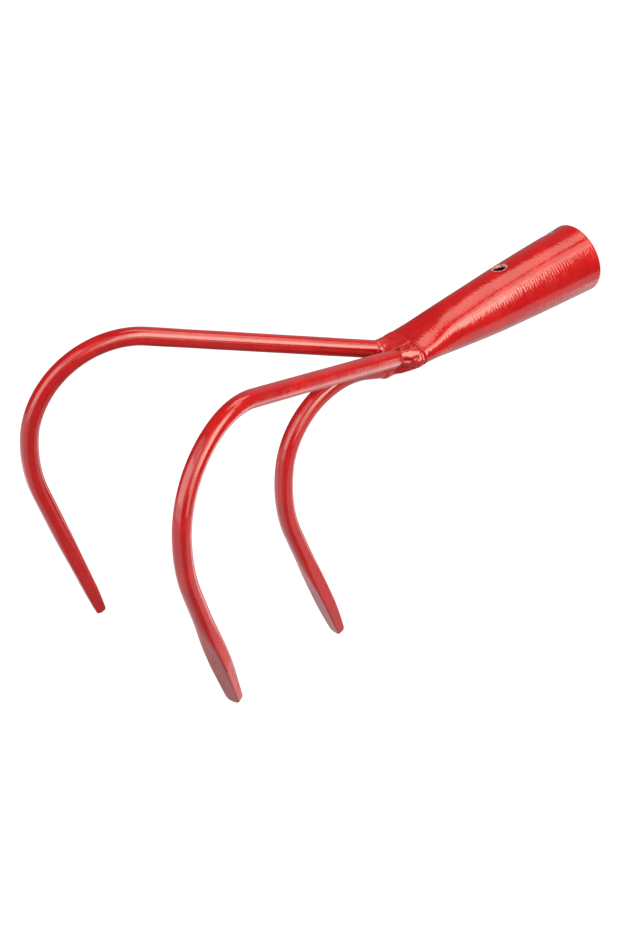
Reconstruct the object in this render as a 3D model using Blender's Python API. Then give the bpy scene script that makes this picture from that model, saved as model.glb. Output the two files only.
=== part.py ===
"""Head of a three-tine garden cultivator, without its wooden handle.

The head stands on its three tips, with +Z up. The handle socket opens toward +X and the tines
hook over toward -X, so the left tine is the one on the -Y side. The fan apex is the point where
the axes of the two side rods would cross; the head is built around it and then set on the floor.
"""

import math

import bmesh
import bpy
from mathutils import Matrix, Vector

# Space kept between pieces that touch on the real head
GAP = 0.0003

# Round bar that all three tines are bent from
ROD_DIAMETER = 0.010

# Fan: how the side rods leave the apex, and how far their hooks lean outward
FAN_HALF_ANGLE = math.radians(15.2)
FAN_DROP = math.radians(0.8)
SIDE_LEAN = math.radians(6.5)

# Side tines: apex to bend, then the two stretches of the bend as (radius, angle)
SIDE_REACH = 0.1631
RIGHT_BENDS = ((0.0510, math.radians(101.8)), (0.0814, math.radians(24.7)))
LEFT_BENDS = ((0.0510, math.radians(101.8)), (0.0814, math.radians(26.2)))

# Centre tine: its root lies this far ahead of the apex, under the two side rods
CENTRE_ROOT = 0.0215
CENTRE_STRAIGHT = 0.0147
CENTRE_DROP = math.radians(1.95)
CENTRE_BENDS = ((0.0456, math.radians(98.2)), (0.0829, math.radians(30.3)))

# How far below the apex all three tips end, so that the head stands level
TIP_DEPTH = 0.1675

# Forged lower leg of each tine: how far above the tip it starts, and its size at the shoulder
FORGE_LENGTH = 0.070
SHOULDER_WIDTH = 0.0115
SHOULDER_FRONT = 0.0034
SHOULDER_BACK = 0.0039

# Ground point of each tine: length of the taper, width and thickness at the end
LEFT_POINT = {"length": 0.035, "width": 0.0072, "thickness": 0.0042}
CENTRE_POINT = {"length": 0.026, "width": 0.0066, "thickness": 0.0048}
RIGHT_POINT = {"length": 0.019, "width": 0.0068, "thickness": 0.0052}

# Conical sheet socket as (distance from the mouth, width, height), from its mouth to its squeezed end
SOCKET_SECTIONS = (
    (0.0, 0.0393, 0.0393),
    (0.0440, 0.0353, 0.0353),
    (0.0680, 0.0331, 0.0319),
    (0.0860, 0.0312, 0.0278),
    (0.1040, 0.0293, 0.0230),
    (0.1180, 0.0306, 0.0166),
    (0.1320, 0.0313, 0.0134),
)
SOCKET_SQUARENESS = 0.85
SOCKET_TILT = math.radians(23.4)
SOCKET_WALL = 0.0018
SOCKET_SET_BACK = 0.0047

# Nail holes in the socket: distance from the mouth and turn from the top line, far side positive
NAIL_HOLE_DIAMETER = 0.0080
NAIL_HOLES = ((0.0546, math.radians(12.5)), (0.0105, math.radians(35.0)))

# Weld beads: thickness over the rods and how far each bead reaches along its rod
WELD_SKIN = 0.0007
LEFT_WELD_TOE = 0.0
RIGHT_WELD_TOE = 0.0035
CENTRE_WELD_TOE = 0.0010
WELD_LAP = 0.0060

# Mesh fineness
ROD_SIDES = 24
SOCKET_SIDES = 56
BEND_STEP = math.radians(6.5)

SOCKET_LENGTH, SOCKET_END_WIDTH, SOCKET_END_HEIGHT = SOCKET_SECTIONS[-1]
ROD_RADIUS = ROD_DIAMETER / 2
SIDE_ROOT = (ROD_RADIUS * math.cos(FAN_HALF_ANGLE) + GAP / 2) / math.sin(FAN_HALF_ANGLE)
SIDE_SPACE_AT_CENTRE_ROOT = CENTRE_ROOT * math.sin(FAN_HALF_ANGLE)
CENTRE_DEPTH = (math.sqrt((ROD_DIAMETER + GAP) ** 2 - SIDE_SPACE_AT_CENTRE_ROOT ** 2)
                + CENTRE_ROOT * math.sin(FAN_DROP))

LEFT, CENTRE, RIGHT = 1, 0, -1


def clear_scene():
    for item in list(bpy.data.objects):
        bpy.data.objects.remove(item, do_unlink=True)


def paint(name, colour):
    material = bpy.data.materials.new(name)
    material.use_nodes = True
    shader = material.node_tree.nodes["Principled BSDF"]
    shader.inputs["Base Color"].default_value = (*colour, 1.0)
    shader.inputs["Roughness"].default_value = 0.28
    shader.inputs["Metallic"].default_value = 0.0
    material.diffuse_color = (*colour, 1.0)
    return material


def add_object(name, mesh_builder, material, smooth_angle=math.radians(32)):
    """Turn a bmesh into an object with flat triangles, outward faces and smooth round surfaces."""
    bmesh.ops.triangulate(mesh_builder, faces=mesh_builder.faces)
    bmesh.ops.recalc_face_normals(mesh_builder, faces=mesh_builder.faces)
    mesh = bpy.data.meshes.new(name)
    mesh_builder.to_mesh(mesh)
    mesh_builder.free()
    mesh.shade_smooth()
    mesh.set_sharp_from_angle(angle=smooth_angle)
    item = bpy.data.objects.new(name, mesh)
    bpy.context.scene.collection.objects.link(item)
    if material is not None:
        mesh.materials.append(material)
    return item


def hide_cutter(item):
    item.hide_render = True
    item.display_type = "WIRE"
    return item


def cut(item, cutter):
    modifier = item.modifiers.new("cut " + cutter.name, "BOOLEAN")
    modifier.operation = "DIFFERENCE"
    modifier.object = cutter
    modifier.solver = "EXACT"


def skin_rings(builder, rings):
    """Quads between neighbouring closed rings of vertices."""
    count = len(rings[0])
    for ring, after in zip(rings, rings[1:]):
        for i in range(count):
            j = (i + 1) % count
            builder.faces.new((ring[i], ring[j], after[j], after[i]))


def solid_from_rings(points):
    """A closed solid through rings of points, with a flat cap on each end."""
    builder = bmesh.new()
    rings = [[builder.verts.new(point) for point in ring] for ring in points]
    skin_rings(builder, rings)
    builder.faces.new(rings[0])
    builder.faces.new(rings[-1])
    return builder


def blend(start, end, share):
    return start + (end - start) * share


def ease(share):
    share = min(1.0, max(0.0, share))
    return share * share * (3 - 2 * share)


# Tines


def rod_stations(straight, bends, leg, fine):
    """Centre line of a bent rod in its own plane, as (x, z, heading, distance to the tip)."""
    total = straight + sum(radius * angle for radius, angle in bends) + leg
    stations = [(0.0, 0.0, 0.0, total)]
    x, z, heading, left = straight, 0.0, 0.0, total - straight
    stations.append((x, z, heading, left))
    for radius, angle in bends:
        centre_x = x - radius * math.sin(heading)
        centre_z = z - radius * math.cos(heading)
        steps = max(2, round(angle / BEND_STEP))
        for step in range(1, steps + 1):
            turn = heading + angle * step / steps
            stations.append((centre_x + radius * math.sin(turn), centre_z + radius * math.cos(turn),
                             turn, left - radius * angle * step / steps))
        x, z, heading, left = stations[-1]
    for remaining in fine:
        travel = leg - remaining
        stations.append((x + travel * math.cos(heading), z - travel * math.sin(heading),
                         heading, remaining))
    return stations


def leg_rings(leg, point_length):
    """Distances above the tip that need a ring: the forged wedge, the shoulder and the round end."""
    wedge = [blend(FORGE_LENGTH, point_length, share) for share in (0.0, 0.25, 0.5, 0.75, 0.9, 1.0)]
    taper = [point_length * share for share in (0.72, 0.44, 0.22)]
    nose = [0.0036, 0.0024, 0.0015, 0.0008, 0.0003, 0.0]
    return [value for value in wedge + taper + nose if value < leg]


def tine_section(remaining, point, clearance):
    """Outline of a tine across its axis, as (side, front) pairs: round rod, forged wedge or point."""
    radius = ROD_RADIUS + clearance
    forged = ease((FORGE_LENGTH - remaining) / (FORGE_LENGTH - point["length"]))
    half_width = blend(radius, SHOULDER_WIDTH / 2 + clearance, forged)
    squareness = blend(2.0, 4.0, forged)
    front = blend(radius, SHOULDER_FRONT + clearance, forged)
    back = blend(radius, SHOULDER_BACK + clearance, forged)
    side = half_width
    if remaining < point["length"]:
        share = 1 - remaining / point["length"]
        front = blend(front, point["thickness"] / 2, share)
        back = blend(back, point["thickness"] / 2, share)
        side = blend(half_width, point["width"] / 2, share)
        nose = point["width"] * 0.45
        if remaining < nose:
            side -= 0.8 * (nose - math.sqrt(nose ** 2 - (nose - remaining) ** 2))
    return section_outline(half_width, radius, squareness, front, back, side)


def section_outline(half_width, half_height, power, front, back, side):
    """Rounded outline cut by a front plane, a back plane and two side planes."""
    def corner(plane):
        return min(math.asin(min(1.0, plane / half_height) ** (power / 2)), math.radians(48))

    def oval(angle):
        across = half_width * abs(math.cos(angle)) ** (2 / power) * math.copysign(1, math.cos(angle))
        along = half_height * abs(math.sin(angle)) ** (2 / power) * math.copysign(1, math.sin(angle))
        return across, along

    def clip(across, along):
        return max(-side, min(side, across)), max(-back, min(front, along))

    def height_at(across, limit):
        return min(limit, half_height * (1 - (abs(across) / half_width) ** power) ** (1 / power))

    side_points = ROD_SIDES * 7 // 24
    face_points = ROD_SIDES // 2 - side_points + 1
    front_angle, back_angle = corner(front), corner(back)
    front_edge, back_edge = min(side, oval(front_angle)[0]), min(side, oval(back_angle)[0])
    outline = []
    for i in range(side_points):
        outline.append(clip(*oval(blend(-back_angle, front_angle, i / (side_points - 1)))))
    for i in range(1, face_points):
        angle = blend(front_angle, math.pi - front_angle, i / face_points)
        across = front_edge * math.cos(angle) / math.cos(front_angle)
        outline.append((across, height_at(across, front)))
    for i in range(side_points):
        angle = blend(math.pi - front_angle, math.pi + back_angle, i / (side_points - 1))
        outline.append(clip(*oval(angle)))
    for i in range(1, face_points):
        angle = blend(math.pi + back_angle, 2 * math.pi - back_angle, i / face_points)
        across = back_edge * math.cos(angle) / math.cos(back_angle)
        outline.append((across, -height_at(across, back)))
    return outline


def tine_frame(side):
    """Where a rod starts and how its bend plane stands: local X ahead, Y to the left, Z up."""
    if side == CENTRE:
        turn = Matrix.Rotation(math.pi, 4, "Z") @ Matrix.Rotation(CENTRE_DROP, 4, "Y")
        return Matrix.Translation((-CENTRE_ROOT, 0.0, -CENTRE_DEPTH)) @ turn
    turn = (Matrix.Rotation(math.pi + side * FAN_HALF_ANGLE, 4, "Z")
            @ Matrix.Rotation(FAN_DROP, 4, "Y") @ Matrix.Rotation(side * SIDE_LEAN, 4, "X"))
    return turn @ Matrix.Translation((SIDE_ROOT, 0.0, 0.0))


def level_leg(frame, straight, bends, point):
    """Length of the lower leg that brings the lowest edge of the tip down to TIP_DEPTH."""
    x, z, heading, _ = rod_stations(straight, bends, 0.0, [])[-1]
    bend_end = frame @ Vector((x, 0.0, z))
    along = frame.to_3x3() @ Vector((math.cos(heading), 0.0, -math.sin(heading)))
    outward = frame.to_3x3() @ Vector((math.sin(heading), 0.0, math.cos(heading)))
    return (TIP_DEPTH + bend_end.z + outward.z * point["thickness"] / 2) / -along.z


def tine_rings(side, point, clearance=0.0):
    straight = CENTRE_STRAIGHT if side == CENTRE else SIDE_REACH - SIDE_ROOT
    bends = {LEFT: LEFT_BENDS, CENTRE: CENTRE_BENDS, RIGHT: RIGHT_BENDS}[side]
    frame = tine_frame(side)
    leg = level_leg(frame, straight, bends, point)
    rings = []
    for x, z, heading, remaining in rod_stations(straight, bends, leg, leg_rings(leg, point["length"])):
        outward = Vector((math.sin(heading), 0.0, math.cos(heading)))
        centre = Vector((x, 0.0, z))
        rings.append([frame @ (centre + Vector((0.0, across, 0.0)) + outward * along)
                      for across, along in tine_section(remaining, point, clearance)])
    return rings


def make_tine(name, side, point, material):
    return add_object(name, solid_from_rings(tine_rings(side, point)), material, math.radians(20))


def root_cutter(name, side, point):
    """The first straight stretch of a rod, grown by the gap all round, to shape the welds."""
    rings = tine_rings(side, point, GAP)[:2]
    back = (rings[0][0] - rings[1][0]).normalized() * GAP
    rings[0] = [corner + back for corner in rings[0]]
    return hide_cutter(add_object(name, solid_from_rings(rings), None))


# Socket


def socket_frame():
    """Local X runs from the mouth to the squeezed end, Y to the left and Z to the top line."""
    end = Vector((-(SIDE_ROOT * math.cos(FAN_HALF_ANGLE) - SOCKET_SET_BACK), 0.0, 0.0))
    turn = Matrix.Rotation(math.pi, 4, "Z") @ Matrix.Rotation(SOCKET_TILT, 4, "Y")
    return Matrix.Translation(end) @ turn @ Matrix.Translation((-SOCKET_LENGTH, 0.0, 0.0))


def socket_slope(number):
    """Change of width and height per metre at a section, as the mean of the slopes on both sides."""
    before, after = max(0, number - 1), min(len(SOCKET_SECTIONS) - 1, number + 1)
    slopes = []
    for start, end in ((before, number), (number, after)):
        if start != end:
            run = SOCKET_SECTIONS[end][0] - SOCKET_SECTIONS[start][0]
            slopes.append([(SOCKET_SECTIONS[end][axis] - SOCKET_SECTIONS[start][axis]) / run
                           for axis in (1, 2)])
    return [sum(pair) / len(slopes) for pair in zip(*slopes)]


def socket_size(travel):
    """Half width and half height outside, at a distance from the mouth, smooth through the sections."""
    number = 0
    while number < len(SOCKET_SECTIONS) - 2 and travel > SOCKET_SECTIONS[number + 1][0]:
        number += 1
    start, end = SOCKET_SECTIONS[number], SOCKET_SECTIONS[number + 1]
    run = end[0] - start[0]
    share = (travel - start[0]) / run
    rise = ease(share)
    leave, arrive = share * (1 - share) ** 2 * run, share * share * (share - 1) * run
    slopes = zip(socket_slope(number), socket_slope(number + 1))
    return tuple((blend(start[axis], end[axis], rise) + leave * before + arrive * after) / 2
                 for axis, (before, after) in enumerate(slopes, start=1))


def socket_ring(travel, inset):
    """Corners of a section: round at the mouth, with squarer sides toward the squeezed end."""
    frame = socket_frame()
    held = max(0.0, min(SOCKET_LENGTH, travel))
    half_width, half_height = socket_size(held)
    waist = SOCKET_SECTIONS[2][0]
    squeeze = ease((held - waist) / (SOCKET_LENGTH - waist))
    power = 1 / (1 + SOCKET_SQUARENESS / 2 * squeeze)
    ring = []
    for i in range(SOCKET_SIDES):
        across = math.cos(2 * math.pi * i / SOCKET_SIDES)
        up = math.sin(2 * math.pi * i / SOCKET_SIDES)
        side = (half_width - inset) * math.copysign(abs(across) ** power, across)
        rise = (half_height - inset) * math.copysign(abs(up) ** power, up)
        ring.append(frame @ Vector((travel, side, rise)))
    return ring


def socket_travels():
    """Where the socket has a ring of corners: widely spaced on the cone, closer where it is squeezed."""
    waist = SOCKET_SECTIONS[2][0]
    return [waist * i / 5 for i in range(5)] + [blend(waist, SOCKET_LENGTH, i / 14) for i in range(15)]


def make_socket(material):
    builder = bmesh.new()
    outer = [[builder.verts.new(p) for p in socket_ring(t, 0.0)] for t in socket_travels()]
    inner = [[builder.verts.new(p) for p in socket_ring(t, SOCKET_WALL)] for t in socket_travels()]
    skin_rings(builder, outer + inner[::-1] + [outer[0]])
    socket = add_object("socket", builder, material)
    for number, (travel, turn) in enumerate(NAIL_HOLES, start=1):
        cut(socket, nail_hole_cutter("nail_hole_cutter_%d" % number, travel, turn))
    return socket


def nail_hole_cutter(name, travel, turn):
    """A straight drill through one wall, square to the socket's surface."""
    half_width, _ = socket_size(travel)
    drill = Matrix.Translation((travel, 0.0, 0.0)) @ Matrix.Rotation(turn, 4, "X")
    frame = socket_frame() @ drill
    rings = []
    for height in (half_width - 3 * SOCKET_WALL, half_width + SOCKET_WALL):
        rings.append([frame @ Vector((NAIL_HOLE_DIAMETER / 2 * math.cos(2 * math.pi * i / ROD_SIDES),
                                      NAIL_HOLE_DIAMETER / 2 * math.sin(2 * math.pi * i / ROD_SIDES),
                                      height)) for i in range(ROD_SIDES)])
    return hide_cutter(add_object(name, solid_from_rings(rings), None))


def socket_end_cutter():
    """The squeezed part of the socket as a filled body, grown by the gap, to shape the welds."""
    start = SOCKET_LENGTH - 3 * WELD_LAP
    travels = [start + 3 * WELD_LAP * i / 9 for i in range(9)] + [SOCKET_LENGTH + GAP]
    rings = [socket_ring(travel, -GAP) for travel in travels]
    return hide_cutter(add_object("socket_end_cutter", solid_from_rings(rings), None))


# Welds


def lump(angle, step, amount):
    """Even, repeatable unevenness of a hand-laid bead."""
    return amount * (math.sin(3 * angle + 1.7 * step) + 0.6 * math.sin(5 * angle - 2.3 * step + 0.8))


def weld_rings(hoops, clearance):
    """Rings for a bead: each hoop is (centre, across, up, half width, half height)."""
    rings = []
    for number, (centre, across, up, half_width, half_height) in enumerate(hoops):
        step = len(hoops) - number
        ring = []
        for i in range(ROD_SIDES):
            angle = 2 * math.pi * i / ROD_SIDES
            grow = clearance + lump(angle, step, WELD_SKIN * 0.3)
            ring.append(centre + across * (half_width + grow) * math.cos(angle)
                        + up * (half_height + grow) * math.sin(angle))
        rings.append(ring)
    return rings


def collar_hoop(side, travel, grow=0.0):
    """A hoop square to a rod, at a distance from its root."""
    frame = tine_frame(side)
    ahead, across, up = [column.copy() for column in frame.to_3x3().col]
    hand = -1 if side == RIGHT else 1
    radius = ROD_RADIUS + WELD_SKIN + grow
    return frame.translation + ahead * travel, across * hand, up, radius, radius


def keep_to_side(rings, side):
    """Press the rings flat against the head's centre plane, so that the two side beads stay apart."""
    for ring in rings:
        for corner in ring:
            corner.y = -side * max(GAP / 2, -side * corner.y)
    return rings


def socket_end_axes():
    """Middle of the squeezed end, the way back to the mouth, and the end's own up direction."""
    frame = socket_frame()
    along, _, top = [column.copy() for column in frame.to_3x3().col]
    return frame @ Vector((SOCKET_LENGTH, 0.0, 0.0)), -along, top


def side_weld_hoops(side, toe):
    """From the rod's root to past the squeezed end of the socket."""
    lip, back, top = socket_end_axes()
    sideways = Vector((0.0, -1.0, 0.0)) * side
    front, heel = toe - 2 * GAP, -SOCKET_SET_BACK * 0.3
    middle = (SOCKET_END_WIDTH / 2 + WELD_SKIN) / 2
    end_half_height = SOCKET_END_HEIGHT / 2 + WELD_SKIN
    lap_half_height = socket_size(SOCKET_LENGTH - WELD_LAP)[1]
    lip = lip + top * WELD_SKIN
    return [
        collar_hoop(side, front),
        collar_hoop(side, blend(front, heel, 0.5), GAP),
        collar_hoop(side, heel),
        (lip + sideways * middle, sideways, top, middle, end_half_height),
        (lip + sideways * middle + back * WELD_LAP * 0.5, sideways, top, middle,
         (end_half_height + lap_half_height) / 2),
        (lip + sideways * middle + back * WELD_LAP, sideways, top, middle * 0.94,
         lap_half_height - 2 * WELD_SKIN),
    ]


def centre_weld_hoops(toe):
    """From the centre rod's root up to the underside of the squeezed end."""
    middle, back, top = socket_end_axes()
    lip = middle - top * SOCKET_END_HEIGHT / 2
    root, across, up, collar, _ = collar_hoop(CENTRE, 0.0)
    lap = lip + back * WELD_LAP
    return [
        collar_hoop(CENTRE, toe),
        collar_hoop(CENTRE, 0.0, GAP),
        (blend(root, lip, 0.45), across, up, collar * 1.15, collar * 0.95),
        (lip, across, top, collar * 1.3, collar * 0.9),
        (lap, across, top, collar * 1.05, collar * 0.6),
        (lap + back * WELD_LAP * 0.4, across, top, collar * 0.5, collar * 0.25),
    ]


def make_welds(material):
    """Beads that join the rods to the socket and each other, cut clear of what they touch."""
    socket_end = socket_end_cutter()
    roots = {
        LEFT: root_cutter("left_root_cutter", LEFT, LEFT_POINT),
        CENTRE: root_cutter("centre_root_cutter", CENTRE, CENTRE_POINT),
        RIGHT: root_cutter("right_root_cutter", RIGHT, RIGHT_POINT),
    }
    side_cutters = []
    for name, side, toe in (("left_weld", LEFT, LEFT_WELD_TOE), ("right_weld", RIGHT, RIGHT_WELD_TOE)):
        hoops = side_weld_hoops(side, toe)
        bead = add_object(name, solid_from_rings(keep_to_side(weld_rings(hoops, 0.0), side)), material)
        cut(bead, socket_end)
        cut(bead, roots[CENTRE])
        if toe > 0.0:
            cut(bead, roots[side])
        longer = [collar_hoop(side, toe + ROD_DIAMETER)] + hoops
        cutter = add_object(name + "_cutter", solid_from_rings(weld_rings(longer, 2 * GAP)), None)
        side_cutters.append(hide_cutter(cutter))
    hoops = centre_weld_hoops(CENTRE_WELD_TOE)
    bead = add_object("centre_weld", solid_from_rings(weld_rings(hoops, 0.0)), material)
    for cutter in [socket_end, *roots.values(), *side_cutters]:
        cut(bead, cutter)


def stand_on_floor():
    """Set the lowest tip on the floor and the middle of the bounding box over the origin."""
    bpy.context.view_layer.update()
    solids = [item for item in bpy.data.objects if item.type == "MESH" and not item.hide_render]
    corners = [item.matrix_world @ vertex.co for item in solids for vertex in item.data.vertices]
    low = [min(corner[axis] for corner in corners) for axis in range(3)]
    high = [max(corner[axis] for corner in corners) for axis in range(3)]
    shift = Vector((-(low[0] + high[0]) / 2, -(low[1] + high[1]) / 2, -low[2]))
    for item in bpy.data.objects:
        item.location = item.location + shift


def build_head():
    clear_scene()
    red = (0.62, 0.012, 0.014)
    make_socket(paint("socket_paint", red))
    make_tine("left_tine", LEFT, LEFT_POINT, paint("left_tine_paint", red))
    make_tine("centre_tine", CENTRE, CENTRE_POINT, paint("centre_tine_paint", red))
    make_tine("right_tine", RIGHT, RIGHT_POINT, paint("right_tine_paint", red))
    make_welds(paint("weld_paint", red))
    stand_on_floor()


build_head()
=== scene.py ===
"""Looks for the head of a three-tine garden cultivator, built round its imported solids.

The head stands on its three tips, with +Z up. The handle socket opens toward +X and the tines
hook over toward -X, so the left tine is the one on the -Y side. Lengths are in metres and the
sizes are the solids' own. The apex is the point where the axes of the two side rods would cross.
"""

import math

import bmesh
import bpy
import numpy as np
from mathutils import Matrix, Vector, noise


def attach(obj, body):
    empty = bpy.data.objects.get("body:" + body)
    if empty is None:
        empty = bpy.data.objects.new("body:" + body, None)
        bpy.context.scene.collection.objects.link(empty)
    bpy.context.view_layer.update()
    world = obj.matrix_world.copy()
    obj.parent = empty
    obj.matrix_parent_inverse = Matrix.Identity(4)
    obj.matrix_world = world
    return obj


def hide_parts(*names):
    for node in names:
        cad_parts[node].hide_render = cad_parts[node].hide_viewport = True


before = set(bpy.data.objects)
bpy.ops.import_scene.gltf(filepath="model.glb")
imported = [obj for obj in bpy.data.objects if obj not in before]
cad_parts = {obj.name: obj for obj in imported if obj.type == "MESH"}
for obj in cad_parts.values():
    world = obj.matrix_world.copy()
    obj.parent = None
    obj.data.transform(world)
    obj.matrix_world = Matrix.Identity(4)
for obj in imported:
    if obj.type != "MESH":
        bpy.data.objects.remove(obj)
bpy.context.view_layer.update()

# The fan apex in the frame, and the point that the lights face
APEX = Vector((0.04704, 0.0, 0.16761))
AIM = Vector((0.0, 0.0, 0.10))

# Rods, as the solids have them
ROD_RADIUS = 0.005
GAP = 0.0003
FAN_HALF_ANGLE = math.radians(15.2)
FAN_DROP = math.radians(0.8)
SIDE_LEAN = math.radians(6.5)
SIDE_REACH = 0.1631
CENTRE_ROOT = 0.0215
CENTRE_STRAIGHT = 0.0147
CENTRE_DROP = math.radians(1.95)
TIP_DEPTH = 0.1675
BENDS = {
    "left": ((0.0510, math.radians(101.8)), (0.0814, math.radians(26.2))),
    "centre": ((0.0456, math.radians(98.2)), (0.0829, math.radians(30.3))),
    "right": ((0.0510, math.radians(101.8)), (0.0814, math.radians(24.7))),
}
SIDE_ROOT = (ROD_RADIUS * math.cos(FAN_HALF_ANGLE) + GAP / 2) / math.sin(FAN_HALF_ANGLE)
SIDE_SPACE_AT_CENTRE_ROOT = CENTRE_ROOT * math.sin(FAN_HALF_ANGLE)
CENTRE_DEPTH = (math.sqrt((2 * ROD_RADIUS + GAP) ** 2 - SIDE_SPACE_AT_CENTRE_ROOT ** 2)
                + CENTRE_ROOT * math.sin(FAN_DROP))

# Where the rods are cut off under their welds, from their roots in the solids
ROD_CUTS = {"left": 0.0062, "centre": 0.0022, "right": 0.0078}

# Forged lower legs and ground points
FORGE_LENGTH = 0.070
SHOULDER_WIDTH = 0.0115
SHOULDER_FRONT = 0.0034
SHOULDER_BACK = 0.0039
POINTS = {
    "left": {"length": 0.035, "width": 0.0072, "thickness": 0.0042},
    "centre": {"length": 0.026, "width": 0.0066, "thickness": 0.0048},
    "right": {"length": 0.019, "width": 0.0068, "thickness": 0.0052},
}

# Rounded end of a point: radii as shares of half its width and half its thickness, drawn out
# along the point, with a section that turns from an oval to a box behind the end
NOSE_ROUNDING = 0.95
EDGE_ROUNDING = 0.90
NOSE_STRETCH = 1.4
OVAL_LENGTH = 0.0006
BOX_LENGTH = 0.0042

# Powers of the sections: 2 is an ellipse, and more is squarer. The gain turns an oval into a box,
# and the crispness is the power that joins the round bar to its flat faces
OVAL = 2.0
SHOULDER_POWER = 4.0
BOX_GAIN = 22.0
CRISPNESS = 13.0

# How quickly the marks for the front and the ground faces change at an edge
MARK_SHARPNESS = 14

# Rings and sides of the tine meshes, and their surface just inside the solids'
TINE_SIDES = 96
ROD_STEP = 0.0012
LEG_STEP = 0.0006
LEG_END = 0.0042
NOSE_END = 0.004
NOSE_RINGS = 22
NOSE_CROWDING = 1.6
TINE_INSET = 0.00006
TINE_WAVER = 0.00007
WAVER_SCALE = 55.0

# Socket, as the solids have it: distance from the mouth, width and height outside
SOCKET_SECTIONS = (
    (0.0, 0.0393, 0.0393),
    (0.0440, 0.0353, 0.0353),
    (0.0680, 0.0331, 0.0319),
    (0.0860, 0.0312, 0.0278),
    (0.1040, 0.0293, 0.0230),
    (0.1180, 0.0306, 0.0166),
    (0.1320, 0.0313, 0.0134),
)
SOCKET_LENGTH = SOCKET_SECTIONS[-1][0]
SOCKET_WAIST = SOCKET_SECTIONS[2][0]
SOCKET_SQUARENESS = 0.85
SOCKET_TILT = math.radians(23.4)
SOCKET_WALL = 0.0018
SOCKET_SET_BACK = 0.0047
NAIL_HOLE_RADIUS = 0.0040
NAIL_HOLES = ((0.0546, math.radians(12.5)), (0.0105, math.radians(35.0)))

# Where the sheet's squeezed end shows, and how far its edges are rounded
SOCKET_LIP = 0.1275
EDGE_LENGTH = 0.0006
LIP_FALL = 0.0005
MOUTH_FALL = 0.00025
BORE_FALL = 0.0002

# Rings and sides of the socket mesh, and the shallow dents in its sheet
SOCKET_SIDES = 240
LIP_RINGS = 5
MOUTH_RINGS = (0.0002, 0.0005)
FIRST_RING = 0.001
LIP_SPACING = 0.0003
OUTER_STEP = 0.0008
BORE_RING = 0.0003
BORE_STEP = 0.003
DENT_DEPTH = 0.00008
DENT_SCALE = 38.0
DENT_SEED = 5.0

SMOOTH_ANGLE = math.radians(50)


def blend(start, end, share):
    return start + (end - start) * share


def ease(share):
    share = np.clip(share, 0.0, 1.0)
    return share * share * (3 - 2 * share)


# Meshes


def make_piece(name, points, faces, material, smooth_angle, marks=None):
    """A mesh object from points and faces, with named numbers on its points for the material."""
    mesh = bpy.data.meshes.new(name)
    mesh.from_pydata([tuple(point) for point in points], [], faces)
    mesh.update()
    for mark, values in (marks or {}).items():
        mesh.attributes.new(mark, "FLOAT", "POINT").data.foreach_set("value", values)
    builder = bmesh.new()
    builder.from_mesh(mesh)
    bmesh.ops.recalc_face_normals(builder, faces=builder.faces)
    builder.to_mesh(mesh)
    builder.free()
    mesh.shade_smooth()
    mesh.set_sharp_from_angle(angle=smooth_angle)
    mesh.materials.append(material)
    piece = bpy.data.objects.new(name, mesh)
    bpy.context.scene.collection.objects.link(piece)
    return piece


def grid_faces(rings, sides, closed_ends=False):
    """Quads over rings of points that lie one after another, each ring closed."""
    faces = []
    for ring in range(rings - 1):
        for side in range(sides):
            after = (side + 1) % sides
            faces.append((ring * sides + side, ring * sides + after,
                          (ring + 1) * sides + after, (ring + 1) * sides + side))
    if closed_ends:
        faces.append(tuple(range(sides)))
        faces.append(tuple(range((rings - 1) * sides, rings * sides)))
    return faces


def unevenness(point, scale, seed):
    """Smooth repeatable noise, about -1 to 1, at a point in metres."""
    return noise.noise(point * scale + Vector((seed, 0.0, 0.0)))


# Tines


def tine_frame(side):
    """Where a rod starts and how its bend plane stands: local X ahead, Y to the left, Z up."""
    if side == "centre":
        turn = Matrix.Rotation(math.pi, 4, "Z") @ Matrix.Rotation(CENTRE_DROP, 4, "Y")
        return Matrix.Translation(APEX + Vector((-CENTRE_ROOT, 0.0, -CENTRE_DEPTH))) @ turn
    hand = 1 if side == "left" else -1
    turn = (Matrix.Rotation(math.pi + hand * FAN_HALF_ANGLE, 4, "Z")
            @ Matrix.Rotation(FAN_DROP, 4, "Y") @ Matrix.Rotation(hand * SIDE_LEAN, 4, "X"))
    return Matrix.Translation(APEX) @ turn @ Matrix.Translation((SIDE_ROOT, 0.0, 0.0))


def rod_place(straight, bends, travel):
    """Point and heading on the centre line of a bent rod, at a distance from its root."""
    if travel <= straight:
        return travel, 0.0, 0.0
    x, z, heading, left = straight, 0.0, 0.0, travel - straight
    for radius, angle in bends:
        turn = heading + min(angle, left / radius)
        x += radius * (math.sin(turn) - math.sin(heading))
        z += radius * (math.cos(turn) - math.cos(heading))
        left -= radius * (turn - heading)
        heading = turn
        if left <= 1e-9:
            return x, z, heading
    return x + left * math.cos(heading), z - left * math.sin(heading), heading


def rod_length(side):
    """Straight root stretch and full length of a rod whose tip lies TIP_DEPTH below the apex."""
    rod = tine_frame(side)
    straight = CENTRE_STRAIGHT if side == "centre" else SIDE_REACH - SIDE_ROOT
    bent = straight + sum(radius * angle for radius, angle in BENDS[side])
    x, z, heading = rod_place(straight, BENDS[side], bent)
    bend_end = rod @ Vector((x, 0.0, z)) - APEX
    along = rod.to_3x3() @ Vector((math.cos(heading), 0.0, -math.sin(heading)))
    outward = rod.to_3x3() @ Vector((math.sin(heading), 0.0, math.cos(heading)))
    leg = (TIP_DEPTH + bend_end.z + outward.z * POINTS[side]["thickness"] / 2) / -along.z
    return straight, bent + leg


def rounding(remaining, radius):
    """How far a rounded edge falls back at a distance from the end."""
    if remaining >= radius:
        return 0.0
    return radius - math.sqrt(radius ** 2 - (radius - remaining) ** 2)


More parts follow.
